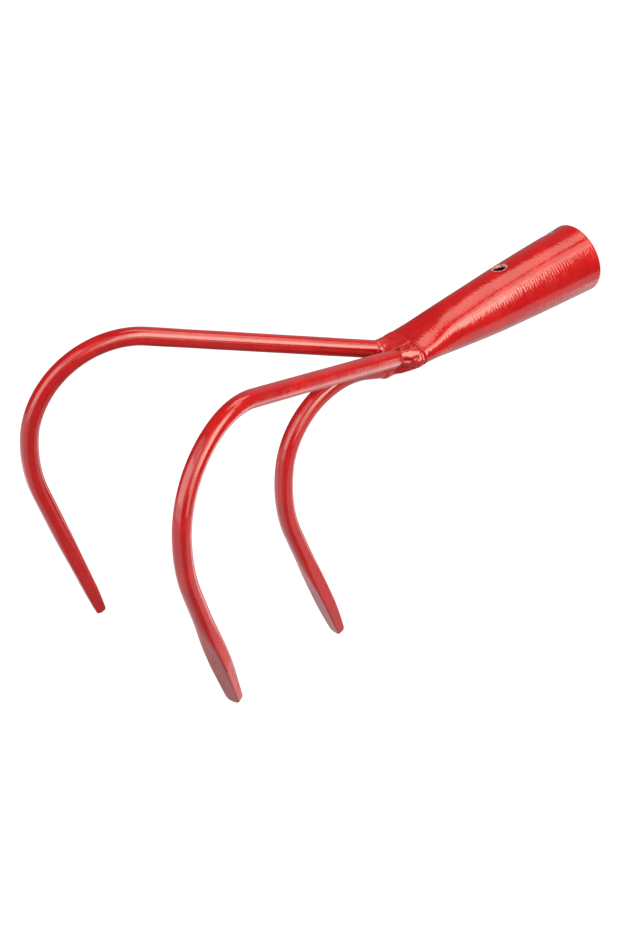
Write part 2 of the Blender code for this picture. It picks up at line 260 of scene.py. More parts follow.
def tine_section(angles, remaining, point):
    """Distance from the axis to the surface round a section: round rod, forged wedge or point.

    Also how far each place belongs to the flat front face, and to the ground side faces.
    """
    forged = float(ease((FORGE_LENGTH - remaining) / (FORGE_LENGTH - point["length"])))
    half_width = blend(ROD_RADIUS, SHOULDER_WIDTH / 2, forged)
    power = blend(OVAL, SHOULDER_POWER, forged)
    front = blend(ROD_RADIUS, SHOULDER_FRONT, forged)
    back = blend(ROD_RADIUS, SHOULDER_BACK, forged)
    side = half_width
    if remaining < point["length"]:
        share = 1 - remaining / point["length"]
        nose = remaining / NOSE_STRETCH
        edge_fall = rounding(nose, EDGE_ROUNDING * point["thickness"] / 2)
        front = blend(front, point["thickness"] / 2, share) - edge_fall
        back = blend(back, point["thickness"] / 2, share) - edge_fall
        side = blend(half_width, point["width"] / 2, share)
        side -= rounding(nose, NOSE_ROUNDING * point["width"] / 2)
    across, up = np.cos(angles), np.sin(angles)
    oval = (np.abs(across / half_width) ** power + np.abs(up / ROD_RADIUS) ** power) ** (1 / power)
    flank = np.abs(across) / side
    box = OVAL + BOX_GAIN * min(1.0, max(0.0, remaining - OVAL_LENGTH) / BOX_LENGTH) ** 2
    plane = (np.maximum(up / front, -up / back) ** box + flank ** box) ** (1 / box)
    radius = (oval ** CRISPNESS + plane ** CRISPNESS) ** (-1 / CRISPNESS)
    others = np.maximum(oval, np.maximum(flank, -up / back))
    is_front = forged * np.clip(0.5 + MARK_SHARPNESS * (up / front / others - 1), 0.0, 1.0)
    others = np.maximum(oval, np.abs(up) / front)
    is_ground = np.clip(0.5 + MARK_SHARPNESS * (flank / others - 1), 0.0, 1.0)
    if remaining > point["length"]:
        is_ground = is_ground * 0.0
    return radius, is_front, is_ground


def tine_travels(side, length):
    """Ring places from root to tip, closest together over the forged leg and the nose."""
    rod = np.arange(0.0, length - FORGE_LENGTH, ROD_STEP)
    leg = np.arange(length - FORGE_LENGTH, length - LEG_END, LEG_STEP)
    nose = length - NOSE_END * (1 - np.linspace(0.0, 1.0, NOSE_RINGS)) ** NOSE_CROWDING
    travels = np.concatenate([rod, leg, nose])
    return travels[travels >= ROD_CUTS[side]]


def make_tine(side, material, seed):
    straight, length = rod_length(side)
    rod = tine_frame(side)
    angles = np.linspace(0, 2 * math.pi, TINE_SIDES, endpoint=False)
    points, from_tip, front, ground = [], [], [], []
    travels = tine_travels(side, length)
    for travel in travels:
        x, z, heading = rod_place(straight, BENDS[side], travel)
        centre = Vector((x, 0.0, z))
        outward = Vector((math.sin(heading), 0.0, math.cos(heading)))
        remaining = length - travel
        radii, is_front, is_ground = tine_section(angles, remaining, POINTS[side])
        front += list(is_front)
        ground += list(is_ground)
        from_tip += [remaining] * TINE_SIDES
        for angle, radius in zip(angles, radii):
            offset = Vector((0.0, math.cos(angle), 0.0)) + outward * math.sin(angle)
            waver = unevenness(centre + offset * ROD_RADIUS, WAVER_SCALE, seed) * TINE_WAVER
            points.append(rod @ (centre + offset * (radius - TINE_INSET + waver)))
    faces = grid_faces(len(travels), TINE_SIDES, closed_ends=True)
    marks = {"from_tip": from_tip, "front": front, "ground": ground}
    piece = make_piece(side + "_tine_enamelled", points, faces, material, SMOOTH_ANGLE, marks)
    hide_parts(side + "_tine")
    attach(piece, "root")


# Socket


def socket_frame():
    """Local X runs from the mouth to the squeezed end, Y to the left and Z to the top line."""
    end = APEX + Vector((-(SIDE_ROOT * math.cos(FAN_HALF_ANGLE) - SOCKET_SET_BACK), 0.0, 0.0))
    turn = Matrix.Rotation(math.pi, 4, "Z") @ Matrix.Rotation(SOCKET_TILT, 4, "Y")
    return Matrix.Translation(end) @ turn @ Matrix.Translation((-SOCKET_LENGTH, 0.0, 0.0))


def socket_slope(number):
    """Change of width and height per metre at a section, as the mean of the slopes on both sides."""
    before, after = max(0, number - 1), min(len(SOCKET_SECTIONS) - 1, number + 1)
    slopes = []
    for start, end in ((before, number), (number, after)):
        if start != end:
            run = SOCKET_SECTIONS[end][0] - SOCKET_SECTIONS[start][0]
            slopes.append([(SOCKET_SECTIONS[end][axis] - SOCKET_SECTIONS[start][axis]) / run
                           for axis in (1, 2)])
    return [sum(pair) / len(slopes) for pair in zip(*slopes)]


def socket_size(travel):
    """Half width and half height outside, at a distance from the mouth, smooth through the sections."""
    number = 0
    while number < len(SOCKET_SECTIONS) - 2 and travel > SOCKET_SECTIONS[number + 1][0]:
        number += 1
    start, end = SOCKET_SECTIONS[number], SOCKET_SECTIONS[number + 1]
    run = end[0] - start[0]
    share = (travel - start[0]) / run
    rise = float(ease(share))
    leave, arrive = share * (1 - share) ** 2 * run, share * share * (share - 1) * run
    slopes = zip(socket_slope(number), socket_slope(number + 1))
    return tuple((blend(start[axis], end[axis], rise) + leave * before + arrive * after) / 2
                 for axis, (before, after) in enumerate(slopes, start=1))


def socket_power(travel):
    """Power of the section's upper half, which grows squarer toward the squeezed end."""
    return 2 + SOCKET_SQUARENESS * ease((travel - SOCKET_WAIST) / (SOCKET_LENGTH - SOCKET_WAIST))


def socket_rings():
    """Rings along the outside to the lip and back through the bore: distance, inset and which."""
    lip = SOCKET_LIP - EDGE_LENGTH * (1 - np.linspace(0.0, 1.0, LIP_RINGS)) ** 2
    sheet = np.arange(FIRST_RING, lip[0] - LIP_SPACING, OUTER_STEP)
    outer = np.concatenate([MOUTH_RINGS, sheet, lip])
    bore = np.arange(FIRST_RING, SOCKET_LIP - FIRST_RING, BORE_STEP)
    inner = np.concatenate([[BORE_RING], bore, [SOCKET_LIP]])[::-1]
    rings = []
    for travel in outer:
        fall = MOUTH_FALL * max(0.0, 1 - travel / EDGE_LENGTH) ** 2
        fall += LIP_FALL * max(0.0, 1 - (SOCKET_LIP - travel) / EDGE_LENGTH) ** 2
        rings.append((travel, fall, True))
    for travel in inner:
        inset = SOCKET_WALL - BORE_FALL * max(0.0, 1 - travel / EDGE_LENGTH)
        rings.append((travel, inset, False))
    return rings


def raised(value, power):
    return math.copysign(abs(value) ** power, value)


def make_socket(material):
    body = socket_frame()
    angles = np.linspace(0, 2 * math.pi, SOCKET_SIDES, endpoint=False)
    rings = socket_rings()
    points, inside = [], []
    for travel, inset, is_outer in rings:
        half_width, half_height = socket_size(travel)
        inside += [0.0 if is_outer else 1.0] * SOCKET_SIDES
        for angle in angles:
            across, up = math.cos(angle), math.sin(angle)
            bend = 2 / float(socket_power(travel)) if up > 0 else 1.0
            across, up = raised(across, bend), raised(up, bend)
            spot = Vector((travel, half_width * across, half_height * up))
            dent = unevenness(spot, DENT_SCALE, DENT_SEED) * DENT_DEPTH + DENT_DEPTH
            depth = inset + dent if is_outer else inset
            spot = Vector((travel, (half_width - depth) * across, (half_height - depth) * up))
            points.append(body @ spot)
    faces = grid_faces(len(rings), SOCKET_SIDES)
    last = (len(rings) - 1) * SOCKET_SIDES
    for side in range(SOCKET_SIDES):
        after = (side + 1) % SOCKET_SIDES
        faces.append((last + side, last + after, after, side))
    piece = make_piece("socket_enamelled", points, faces, material, SMOOTH_ANGLE, {"inside": inside})
    for travel, turn in NAIL_HOLES:
        drill_hole(piece, travel, turn)
    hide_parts("socket")
    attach(piece, "root")


def hole_frame(travel, turn):
    """Centre of a nail hole in the socket's outside, with local Z out through the hole."""
    half_width, _ = socket_size(travel)
    axis_point = socket_frame() @ Matrix.Translation((travel, 0.0, 0.0))
    return axis_point @ Matrix.Rotation(turn, 4, "X") @ Matrix.Translation((0.0, 0.0, half_width))


def drill_hole(piece, travel, turn):
    builder = bmesh.new()
    bmesh.ops.create_cone(builder, cap_ends=True, segments=64, radius1=NAIL_HOLE_RADIUS,
                          radius2=NAIL_HOLE_RADIUS, depth=6 * SOCKET_WALL)
    mesh = bpy.data.meshes.new("drill")
    builder.to_mesh(mesh)
    builder.free()
    drill = bpy.data.objects.new("drill", mesh)
    bpy.context.scene.collection.objects.link(drill)
    drill.matrix_world = hole_frame(travel, turn)
    modifier = piece.modifiers.new("drill", "BOOLEAN")
    modifier.operation = "DIFFERENCE"
    modifier.solver = "EXACT"
    modifier.object = drill
    bpy.context.view_layer.update()
    evaluated = piece.evaluated_get(bpy.context.evaluated_depsgraph_get())
    drilled = bpy.data.meshes.new_from_object(evaluated)
    piece.modifiers.clear()
    piece.data = drilled
    bpy.data.objects.remove(drill)
    clean = bmesh.new()
    clean.from_mesh(drilled)
    bmesh.ops.dissolve_degenerate(clean, edges=clean.edges[:], dist=0.000002)
    clean.to_mesh(drilled)
    clean.free()


# Distance fields for the welds


WELD_STEP = 0.00035
WELD_LOW = Vector((-0.031, -0.0205, -0.0160))
WELD_HIGH = Vector((-0.002, 0.0205, 0.0120))

# Smallest ring size and slope that a field divides by, and the sections it looks sizes up in
TINY = 1e-3
SIZE_SAMPLES = 60


def grid_points(low, high, step):
    axes = [np.arange(low[axis], high[axis], step) for axis in range(3)]
    return np.stack(np.meshgrid(*axes, indexing="ij"), axis=-1)


def local(frame_matrix, points):
    """Points near the apex in the axes of a rod or of the socket."""
    inverse = frame_matrix.inverted()
    turn = np.array(inverse.to_3x3())
    shift = np.array(inverse @ APEX)
    return points @ turn.T + shift


def melt(first, second, reach):
    """Union of two distance fields with a fillet."""
    share = np.clip(0.5 + 0.5 * (second - first) / reach, 0.0, 1.0)
    return second + (first - second) * share - reach * share * (1 - share)


def keep(first, second, reach):
    """What two distance fields share, with a rounded edge."""
    return -melt(-first, -second, reach)


def facet(points, spot, facing):
    """Distance above a plane through a spot in mm from the apex."""
    return (points - np.array(spot) / 1000) @ np.array(facing)


def chain(points, beads, reach=0.0004):
    """Distance to a row of beads in mm, joined by cones."""
    total = 1.0
    for start, end in zip(beads, beads[1:]):
        start, end = np.array(start) / 1000, np.array(end) / 1000
        run = end[:3] - start[:3]
        share = np.clip((points - start[:3]) @ run / (run @ run), 0.0, 1.0)
        radius = blend(start[3], end[3], share)
        from_axis = np.linalg.norm(points - start[:3] - share[..., None] * run, axis=-1)
        total = melt(total, from_axis - radius, reach)
    return total


def waves(points, length, height, seed):
    """Repeatable lumpiness, as a sum of crossed waves that together reach about the height."""
    draw = np.random.default_rng(seed)
    count = 7
    total = 0.0
    for _ in range(count):
        heading = draw.normal(size=3)
        heading /= np.linalg.norm(heading)
        pitch = length * draw.uniform(0.7, 1.6)
        phase = draw.uniform(0, 2 * math.pi)
        total = total + np.sin(2 * math.pi * (points @ heading) / pitch + phase)
    return total / (count / 2) * height


def rod_field(side, points):
    """Distance to a rod's straight root stretch, and how far along it a point lies."""
    place = local(tine_frame(side), points)
    return np.hypot(place[..., 1], place[..., 2]) - ROD_RADIUS, place[..., 0]


def socket_field(points):
    """Distance to the filled socket end, and how far from the squeezed end a point lies."""
    place = local(socket_frame(), points)
    travels = np.linspace(SOCKET_WAIST, SOCKET_LENGTH, SIZE_SAMPLES)
    sizes = np.array([socket_size(travel) for travel in travels])
    wide = np.interp(place[..., 0], travels, sizes[:, 0])
    high = np.interp(place[..., 0], travels, sizes[:, 1])
    power = np.where(place[..., 2] > 0, socket_power(place[..., 0]), OVAL)
    across, up = np.abs(place[..., 1]) / wide, np.abs(place[..., 2]) / high
    ring = (across ** power + up ** power) ** (1 / power)
    slope = np.hypot(across ** (power - 1) / wide, up ** (power - 1) / high)
    section = ring ** power * (1 - 1 / np.maximum(ring, TINY)) / np.maximum(slope, TINY)
    return np.maximum(section, place[..., 0] - SOCKET_LENGTH), SOCKET_LENGTH - place[..., 0]


def surface_net(field, low, step):
    """Closed quad mesh where a field on a grid changes sign."""
    cells = tuple(size - 1 for size in field.shape)
    total, count = np.zeros(cells + (3,)), np.zeros(cells)
    grid = np.indices(field.shape).astype(float)
    crossings = []
    for axis in range(3):
        ahead = [slice(None)] * 3
        ahead[axis] = slice(1, None)
        start = [slice(None)] * 3
        start[axis] = slice(None, -1)
        first, second = field[tuple(start)], field[tuple(ahead)]
        crossed = (first < 0) != (second < 0)
        share = np.where(crossed, first / np.where(crossed, first - second, 1.0), 0.0)
        spot = grid[(slice(None),) + tuple(start)].copy()
        spot[axis] += share
        others = [other for other in range(3) if other != axis]
        for shift in ((0, 0), (0, 1), (1, 0), (1, 1)):
            part = [slice(None)] * 3
            for other, offset in zip(others, shift):
                part[other] = slice(offset, cells[other] + offset)
            part = tuple(part)
            total += np.moveaxis(spot[(slice(None),) + part] * crossed[part], 0, -1)
            count += crossed[part]
        crossings.append((others, np.argwhere(crossed)))
    used = count > 0
    index = np.full(cells, -1)
    index[used] = np.arange(used.sum())
    points = np.array(low) + total[used] / count[used][:, None] * step
    faces = []
    for others, places in crossings:
        corners = []
        for shift in ((1, 1), (0, 1), (0, 0), (1, 0)):
            cell = places.copy()
            for other, offset in zip(others, shift):
                cell[:, other] -= offset
            corners.append(index[tuple(cell.T)])
        faces += np.stack(corners, axis=1).tolist()
    return points, faces


# Welds: beads in mm from the apex, as chains of centres with their radius


NEAR_LEDGE = ((-21.4, -8.0, 2.0, 2.9), (-17.6, -9.8, 3.0, 2.8), (-13.6, -11.4, 3.9, 2.5))
NEAR_RIDGE = (
    (-20.8, -5.6, 4.2, 0.9), (-18.6, -4.4, 5.0, 0.8), (-16.6, -3.6, 5.5, 0.9),
    (-16.4, -6.4, 5.5, 0.8), (-15.9, -8.2, 5.6, 1.0), (-14.8, -10.0, 5.7, 0.9),
)
NEAR_LIP = (
    (-13.4, -4.0, 6.6, 0.9), (-13.2, -8.6, 6.2, 1.0), (-12.6, -11.6, 5.4, 1.1),
    (-11.8, -13.8, 3.8, 1.2), (-11.4, -14.7, 1.8, 1.3), (-11.8, -14.2, -0.4, 1.2),
)
NEAR_LUMPS = (
    ((-16.6, -10.4, -2.6, 1.4), (-15.4, -12.2, 0.6, 1.2)),
    ((-13.6, -12.8, 0.6, 2.0), (-12.6, -12.6, -0.6, 2.2)),
    ((-19.6, -8.2, -1.8, 2.4), (-14.8, -10.2, -1.0, 2.6)),
    ((-18.2, -6.0, 3.4, 2.0), (-15.8, -6.6, 3.8, 2.0)),
)
FAR_BEAD = ((-26.4, 4.0, 1.0, 2.6), (-25.6, 6.6, 1.6, 3.2))
UNDER_FILLET = (
    (-12.8, -10.2, -0.8, 1.9), (-14.4, -7.2, -4.0, 2.5),
    (-16.4, -4.4, -6.0, 2.8), (-21.0, -1.4, -6.4, 3.3),
)

# The flat of the near ledge, and the far weld's roof with its sides, in mm and in metres
LEDGE_POINT = (-22.3, -10.3, 3.3)
LEDGE_FACING = (-0.42, -0.79, 0.44)
ROOF_POINT = (-12.0, 0.0, 8.25)
ROOF_FACING = (-0.363, 0.0, 0.932)
ROOF_SIDE = 0.0125
ROOF_NEAR_SIDE = -0.0042
ROOF_FRONT = -0.0265

# How far the welds reach over the rods' cut ends, and over the socket from its squeezed end
OVER_ROD = {"left": 0.0002, "centre": 0.0018, "right": 0.0016}
OVER_SOCKET = {"left": 0.0052, "centre": 0.0075, "right": 0.0046}

# How far under the beads the plain body lies, and how far over the rod the centre weld stands
NEAR_BODY_DEPTH = 0.0008
FAR_BODY_DEPTH = 0.0003
CENTRE_SKIN = 0.0003

# Lumpiness of the seam beads, as a share of the heap's
SEAM_UNEVENNESS = 0.7

# How far the body runs back past the side rods' roots, and where and how steeply it tapers
# round the centre rod
ROOT_REACH = 0.004
TAPER_START = 0.0010
TAPER = 0.30

# Where the welds end: beyond the middle plane, under the near heap along a diagonal plane, and
# below and beside the joint
MIDDLE = 0.0006
DIAGONAL = 0.707
HEAP_UNDERSIDE = 0.0014
FAR_BOTTOM = -0.0065
CENTRE_TOP = -0.001
CENTRE_FAR_SIDE = 0.0085


def near_weld(points, run, body, lap):
    """The heaped bead between the near rod's cut end and the socket's lip."""
    uneven = (waves(points, length=0.0046, height=0.00006, seed=3)
              + waves(points, length=0.0024, height=0.00002, seed=8))
    ledge = keep(chain(points, NEAR_LEDGE, reach=0.0010), facet(points, LEDGE_POINT, LEDGE_FACING),
                 reach=0.0004)
    heap = melt(ledge, body + NEAR_BODY_DEPTH, reach=0.0006)
    for lump in NEAR_LUMPS:
        heap = melt(heap, chain(points, lump), reach=0.0008)
    heap = keep(heap + uneven, run - ROD_CUTS["left"] - OVER_ROD["left"], reach=0.0005)
    for seam in (NEAR_LIP, NEAR_RIDGE):
        heap = melt(heap, chain(points, seam, reach=0.0003) + uneven * SEAM_UNEVENNESS, reach=0.0005)
    heap = keep(heap, lap - OVER_SOCKET["left"], reach=0.0004)
    heap = keep(heap, points[..., 1] - MIDDLE, reach=0.0003)
    underside = (points[..., 1] - points[..., 2]) * DIAGONAL - HEAP_UNDERSIDE
    return keep(heap, underside, reach=0.0003)


def far_weld(points, run, body, lap):
    """The smooth fairing that runs from the socket's far corner down to the far rod."""
    uneven = waves(points, length=0.0070, height=0.00006, seed=6)
    roof = keep(facet(points, ROOF_POINT, ROOF_FACING), points[..., 1] - ROOF_SIDE, reach=0.0036)
    roof = keep(roof, ROOF_FRONT - points[..., 0], reach=0.0030)
    roof = keep(roof, ROOF_NEAR_SIDE - points[..., 1], reach=0.0012)
    fairing = melt(roof, body + FAR_BODY_DEPTH, reach=0.0020)
    fairing = melt(fairing, chain(points, FAR_BEAD), reach=0.0008)
    fairing = keep(fairing + uneven, run - ROD_CUTS["right"] - OVER_ROD["right"], reach=0.0005)
    fairing = keep(fairing, lap - OVER_SOCKET["right"], reach=0.0004)
    fairing = keep(fairing, ROOF_NEAR_SIDE - points[..., 1], reach=0.0003)
    return keep(fairing, FAR_BOTTOM - points[..., 2], reach=0.002)


def centre_weld(points, rod, run, socket, lap):
    """The fillet under the joint, round the root of the centre rod."""
    uneven = waves(points, length=0.0048, height=0.00010, seed=3)
    fillet = melt(melt(rod, socket, reach=0.006), chain(points, UNDER_FILLET, reach=0.0030),
                  reach=0.0030)
    fillet = keep(fillet - CENTRE_SKIN + uneven, run - ROD_CUTS["centre"] - OVER_ROD["centre"],
                  reach=0.0010)
    fillet = keep(fillet, lap - OVER_SOCKET["centre"], reach=0.002)
    fillet = keep(fillet, points[..., 2] - CENTRE_TOP, reach=0.001)
    return keep(fillet, points[..., 1] - CENTRE_FAR_SIDE, reach=0.003)


def make_welds(material):
    points = grid_points(WELD_LOW, WELD_HIGH, WELD_STEP)
    left_rod, left_run = rod_field("left", points)
    right_rod, right_run = rod_field("right", points)
    centre_rod, centre_run = rod_field("centre", points)
    socket, lap = socket_field(points)
    centre_rod = centre_rod + TAPER * np.maximum(0.0, TAPER_START - centre_run)
    both = melt(np.maximum(left_rod, -ROOT_REACH - left_run),
                np.maximum(right_rod, -ROOT_REACH - right_run), reach=0.003)
    body = melt(melt(both, socket, reach=0.0035), centre_rod, reach=0.003)
    fields = {
        "left": near_weld(points, left_run, body, lap),
        "centre": centre_weld(points, centre_rod, centre_run, socket, lap),
        "right": far_weld(points, right_run, body, lap),
    }
    for side, field in fields.items():
        field[[0, -1], :, :] = field[:, [0, -1], :] = field[:, :, [0, -1]] = WELD_STEP
        spots, faces = surface_net(field, APEX + WELD_LOW, WELD_STEP)
        piece = make_piece(side + "_weld_enamelled", spots, faces, material, math.pi)
        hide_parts(side + "_weld")
        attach(piece, "root")


# Materials


class Nodes:
    """Short calls for building a node tree."""

    def __init__(self, tree):
        self.tree = tree

    def add(self, kind, **settings):
        node = self.tree.nodes.new(kind)
        for name, value in settings.items():
            setattr(node, name, value)
        return node

    def feed(self, socket, value):
        if isinstance(value, bpy.types.NodeSocket):
            self.tree.links.new(value, socket)
        else:
            socket.default_value = value

    def math(self, operation, first, second=0.0):
        node = self.add("ShaderNodeMath", operation=operation)
        self.feed(node.inputs[0], first)
        self.feed(node.inputs[1], second)
        return node.outputs[0]

    def times(self, first, second):
        return self.math("MULTIPLY", first, second)

    def plus(self, first, second):
        return self.math("ADD", first, second)

    def follow(self, value, base, gain):
        """A number that grows from a base along with a value."""
        return self.plus(base, self.times(value, gain))

    def ramp(self, value, low, high, at_low=0.0, at_high=1.0):
        """A smooth step from one value to another."""
        node = self.add("ShaderNodeMapRange", interpolation_type="SMOOTHSTEP")
        for socket, number in zip(node.inputs, (value, low, high, at_low, at_high)):
            self.feed(socket, number)
        return node.outputs[0]

    def mix_colour(self, share, first, second):
        node = self.add("ShaderNodeMix", data_type="RGBA")
        self.feed(node.inputs[0], share)
        self.feed(node.inputs[6], first)
        self.feed(node.inputs[7], second)
        return node.outputs[2]

    def noise(self, place, scale, detail=2.0, distortion=0.0):
        node = self.add("ShaderNodeTexNoise")
        for name, value in (("Vector", place), ("Scale", scale), ("Detail", detail),
                            ("Distortion", distortion)):
            self.feed(node.inputs[name], value)
        return node.outputs[0]

    def vector(self, operation, first, second, output="Vector"):
        node = self.add("ShaderNodeVectorMath", operation=operation)
        self.feed(node.inputs[0], first)
        self.feed(node.inputs[1], second)
        return node.outputs[output]

    def mark(self, name):
        """A number that the mesh carries on its points."""
        return self.add("ShaderNodeAttribute", attribute_name=name).outputs["Fac"]

    def bump(self, height, distance, strength, normal=None):
        node = self.add("ShaderNodeBump")
        self.feed(node.inputs["Height"], height)
        self.feed(node.inputs["Distance"], distance)
        self.feed(node.inputs["Strength"], strength)
        if normal is not None:
            self.feed(node.inputs["Normal"], normal)
        return node.outputs[0]


FRESH_RED = (0.280, 0.0034, 0.0036, 1.0)
DEEP_RED = (0.240, 0.0022, 0.0030, 1.0)
# A darker, mauve red: on the flat fronts it is a painted dim reflection over their rougher paint, and in
# the ground faces it is the colour of the scratches
DULL_RED = (0.185, 0.0090, 0.0135, 1.0)
# Painted shade for the hollows of the welds' beads
SHADED_RED = (0.11, 0.004, 0.007, 1.0)
BARE_STEEL = (0.36, 0.27, 0.26, 1.0)
BORE_DARK = (0.085, 0.004, 0.006, 1.0)
BORE_DUST = (0.15, 0.018, 0.016, 1.0)

ENAMEL_IOR = 1.6

# Ripples in the socket's sheet: their spacing, how far noise shifts them in radians, and how
# high the blotches stand beside a ripple
RIPPLE_PITCH = 0.0019
RIPPLE_DRIFT = 7.0
BLOTCH_HEIGHT = 5.0

# How far from the middle of a nail hole its chipped rim starts and ends, and how ragged it is
RIM_OUTSIDE = 0.0044
RIM_INSIDE = 0.0042
RIM_RAGGEDNESS = 0.0020

# Distances from the tip: the satin of the forged leg fades in, and the worn edge shows
SATIN_START = FORGE_LENGTH + 0.012
SATIN_FULL = 0.040
WORN_START = 0.0020
WORN_FULL = 0.0012
WORN_RAGGEDNESS = 0.0016

# How much of a coat shows: a base and what the patches add to it, or one share
SATIN_SHARE = (0.55, 0.4)
FRONT_SHARE = (0.7, 0.3)
WORN_SHARE = 0.35
# The last share is how much painted shade the welds' hollows take
HOLLOW_SHADE_SHARE = 0.75

# How fine the ground faces' scratches are, across and along the tines
SCRATCH_SCALE = (500.0, 500.0, 1500.0)


class Enamel:
    """Glossy red spray enamel over steel, with colour, gloss and relief from noise."""

    def __init__(self, name, peel_scale, peel_strength, gloss):
        self.material = bpy.data.materials.new(name)
        self.material.use_nodes = True
        self.nodes = Nodes(self.material.node_tree)
        self.shader = self.material.node_tree.nodes["Principled BSDF"]
        self.shader.inputs["IOR"].default_value = ENAMEL_IOR
        self.place = self.nodes.add("ShaderNodeTexCoord").outputs["Object"]
        thickness = self.nodes.noise(self.place, scale=75.0, detail=3.0)
        fresh = self.nodes.ramp(thickness, low=0.35, high=0.65)
        self.colour = self.nodes.mix_colour(fresh, DEEP_RED, FRESH_RED)
        haze = self.nodes.noise(self.place, scale=260.0, detail=4.0)
        self.roughness = self.nodes.ramp(haze, low=0.3, high=0.75, at_low=gloss - 0.03,
                                         at_high=gloss + 0.09)
        peel = self.nodes.noise(self.place, peel_scale)
        self.normal = self.nodes.bump(peel, distance=0.0004, strength=peel_strength)
        self.metallic = 0.0

    def wear(self, share, colour, roughness, metallic=0.0):
        """Mix in another surface where share is 1."""
        self.colour = self.nodes.mix_colour(share, self.colour, colour)
        mix = self.nodes.add("ShaderNodeMix", data_type="FLOAT")
        for socket, value in zip(mix.inputs[:1] + mix.inputs[2:4], (share, self.roughness, roughness)):
            self.nodes.feed(socket, value)
        self.roughness = mix.outputs[0]
        if metallic:
            self.metallic = self.nodes.times(share, metallic)

    def emboss(self, height, distance, strength):
        """Add relief on top of what is there."""
        self.normal = self.nodes.bump(height, distance, strength, self.normal)

    def finish(self):
        inputs = self.shader.inputs
        self.nodes.feed(inputs["Base Color"], self.colour)
        self.nodes.feed(inputs["Roughness"], self.roughness)
        self.nodes.feed(inputs["Metallic"], self.metallic)
        self.nodes.feed(inputs["Normal"], self.normal)
        return self.material


def socket_ripples(coat):
    """Height of the fine rings in the sheet, which come in patches, with blotches over them."""
    nodes = coat.nodes
    body = socket_frame()
    mouth, axis = body.translation, body.to_3x3().col[0]
    from_mouth = nodes.vector("SUBTRACT", coat.place, tuple(mouth))
    along = nodes.vector("DOT_PRODUCT", from_mouth, tuple(axis), "Value")
    drift = nodes.noise(coat.place, scale=160.0)
    phase = nodes.plus(nodes.times(along, 2 * math.pi / RIPPLE_PITCH), nodes.times(drift, RIPPLE_DRIFT))
    patch = nodes.noise(coat.place, scale=90.0, detail=1.0)
    patch = nodes.ramp(patch, low=0.30, high=0.60, at_low=0.25, at_high=1.0)
    ripple = nodes.times(nodes.math("SINE", phase), patch)
    elsewhere = nodes.vector("ADD", coat.place, (0.3, 0.1, 0.2))
    blotch = nodes.noise(elsewhere, scale=520.0, distortion=0.4)
    return nodes.plus(ripple, nodes.times(blotch, BLOTCH_HEIGHT))


def chip_rim(coat, travel, turn):
    """Bare steel round a nail hole, with a ragged edge."""
    nodes = coat.nodes
    centre = hole_frame(travel, turn).translation
    from_hole = nodes.vector("SUBTRACT", coat.place, tuple(centre))
    reach = nodes.add("ShaderNodeVectorMath", operation="LENGTH")
    nodes.feed(reach.inputs[0], from_hole)
    ragged = nodes.math("SUBTRACT", nodes.noise(coat.place, scale=420.0, detail=3.0), 0.5)
    edge = nodes.plus(reach.outputs["Value"], nodes.times(ragged, RIM_RAGGEDNESS))
    rim = nodes.ramp(edge, low=RIM_OUTSIDE, high=RIM_INSIDE)
    coat.wear(rim, BARE_STEEL, roughness=0.42, metallic=0.7)


def socket_enamel():
    """Glossy and finely rippled outside, chipped round the nail holes, dark and dusty inside."""
    coat = Enamel("socket_enamel", peel_scale=620.0, peel_strength=0.16, gloss=0.12)
    nodes = coat.nodes
    coat.emboss(socket_ripples(coat), distance=0.00002, strength=0.6)
    for travel, turn in NAIL_HOLES:
        chip_rim(coat, travel, turn)
    dusty = nodes.ramp(nodes.noise(coat.place, scale=220.0, detail=4.0), low=0.35, high=0.7)
    dust = nodes.mix_colour(dusty, BORE_DARK, BORE_DUST)
    coat.wear(nodes.ramp(nodes.mark("inside"), low=0.4, high=0.6), dust, roughness=0.5)
    return coat.finish()


def tine_enamel():
    """Glossy on the bends, satin on the forged legs, dull with a painted dim reflection on the flat
    fronts, scratched where ground.
    """
    coat = Enamel("tine_enamel", peel_scale=480.0, peel_strength=0.08, gloss=0.12)
    nodes = coat.nodes
    from_tip = nodes.mark("from_tip")
    forged = nodes.ramp(from_tip, low=SATIN_START, high=SATIN_FULL)
    patches = nodes.noise(coat.place, scale=210.0, detail=4.0, distortion=0.6)
    patches = nodes.ramp(patches, low=0.38, high=0.64)
    satin = nodes.times(forged, nodes.follow(patches, *SATIN_SHARE))
    coat.wear(satin, FRESH_RED, roughness=0.33)
    # The flat fronts are rougher, and their darker mauve red is a painted dim reflection
    front = nodes.times(nodes.mark("front"), nodes.follow(patches, *FRONT_SHARE))
    coat.wear(front, DULL_RED, roughness=0.38)
    ground = nodes.mark("ground")
    drawn_out = nodes.vector("MULTIPLY", coat.place, SCRATCH_SCALE)
    scratches = nodes.noise(drawn_out, scale=1.0)
    scratched = nodes.ramp(scratches, low=0.35, high=0.75, at_low=0.1, at_high=0.35)
    coat.wear(nodes.times(ground, scratched), DULL_RED, roughness=0.3)
    hammered = nodes.noise(coat.place, scale=300.0)
    coat.emboss(nodes.times(hammered, forged), distance=0.0006, strength=0.22)
    coat.emboss(nodes.times(scratches, ground), distance=0.00012, strength=0.5)
    ragged = nodes.times(nodes.noise(coat.place, scale=700.0, detail=3.0), WORN_RAGGEDNESS)
    worn = nodes.ramp(nodes.plus(from_tip, ragged), low=WORN_START, high=WORN_FULL)
    coat.wear(nodes.times(worn, WORN_SHARE), BARE_STEEL, roughness=0.45)
    return coat.finish()


